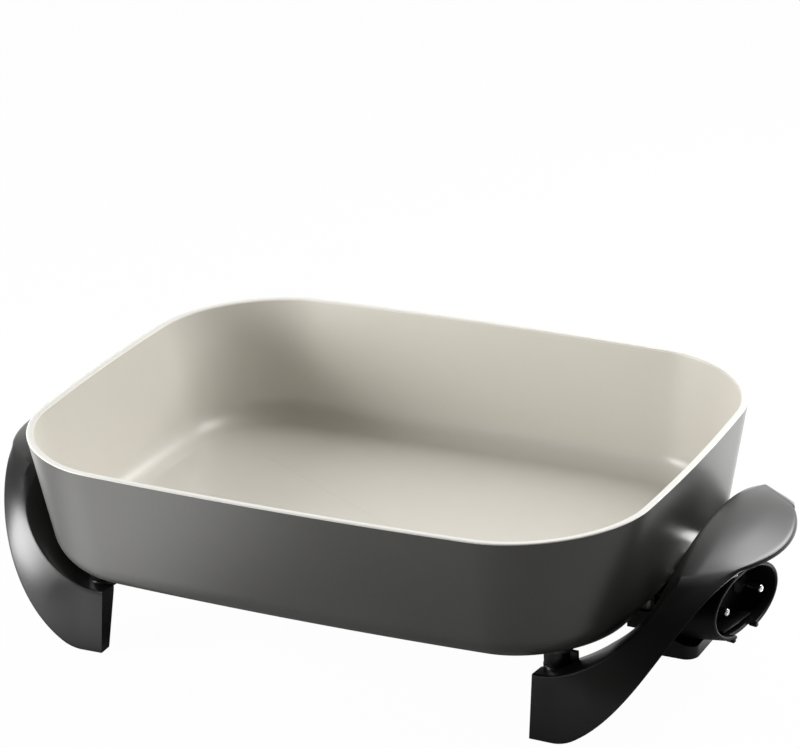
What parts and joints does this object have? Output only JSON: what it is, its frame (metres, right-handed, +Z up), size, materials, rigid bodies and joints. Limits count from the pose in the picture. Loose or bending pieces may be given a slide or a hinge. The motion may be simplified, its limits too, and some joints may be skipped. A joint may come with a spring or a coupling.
{
  "type": "electric skillet",
  "caption": "Rectangular open electric skillet: cast pan with ceramic cooking surface, held by arched handles that form its legs, with a socket for a plug-in heat control.",
  "frame": {"origin": "on the table plane, under the middle of the pan", "axes": "+X towards the socket end, +Y towards the rear long side, +Z up"},
  "size_m": [0.5246, 0.3094, 0.1386],
  "materials": {
    "cast_pan": "charcoal satin paint",
    "cooking_surface": "smooth satin",
    "element_sheath": "dull, heat-darkened",
    "contact_pins": "bright plated",
    "insulators": "matt",
    "fasteners": "zinc plated",
    "handle_moulding": "satin gloss",
    "inner_mouldings": "satin"
  },
  "bodies": {
    "root": {"pan": "cast_pan", "ceramic_coating": "cooking_surface", "heating_element": "element_sheath", "element_clamps": "fasteners", "clamp_screws": "fasteners", "terminal_pin_front": "contact_pins", "terminal_pin_rear": "contact_pins", "pin_insulator_front": "insulators", "pin_insulator_rear": "insulators", "terminal_block": "inner_mouldings", "probe_tube": "contact_pins", "terminal_housing": "inner_mouldings", "housing_cover": "inner_mouldings", "housing_screws": "fasteners", "cover_screws": "fasteners", "probe_guard": "inner_mouldings", "guard_screws": "fasteners", "handle_left": "handle_moulding", "handle_right": "handle_moulding", "grip_cover_left": "inner_mouldings", "grip_cover_right": "inner_mouldings", "grip_screws_left": "fasteners", "grip_screws_right": "fasteners", "post_front_left": "inner_mouldings", "post_front_right": "inner_mouldings", "post_rear_left": "inner_mouldings", "post_rear_right": "inner_mouldings", "leg_screws": "fasteners", "leg_washers": "fasteners"}
  },
  "joints": []
}
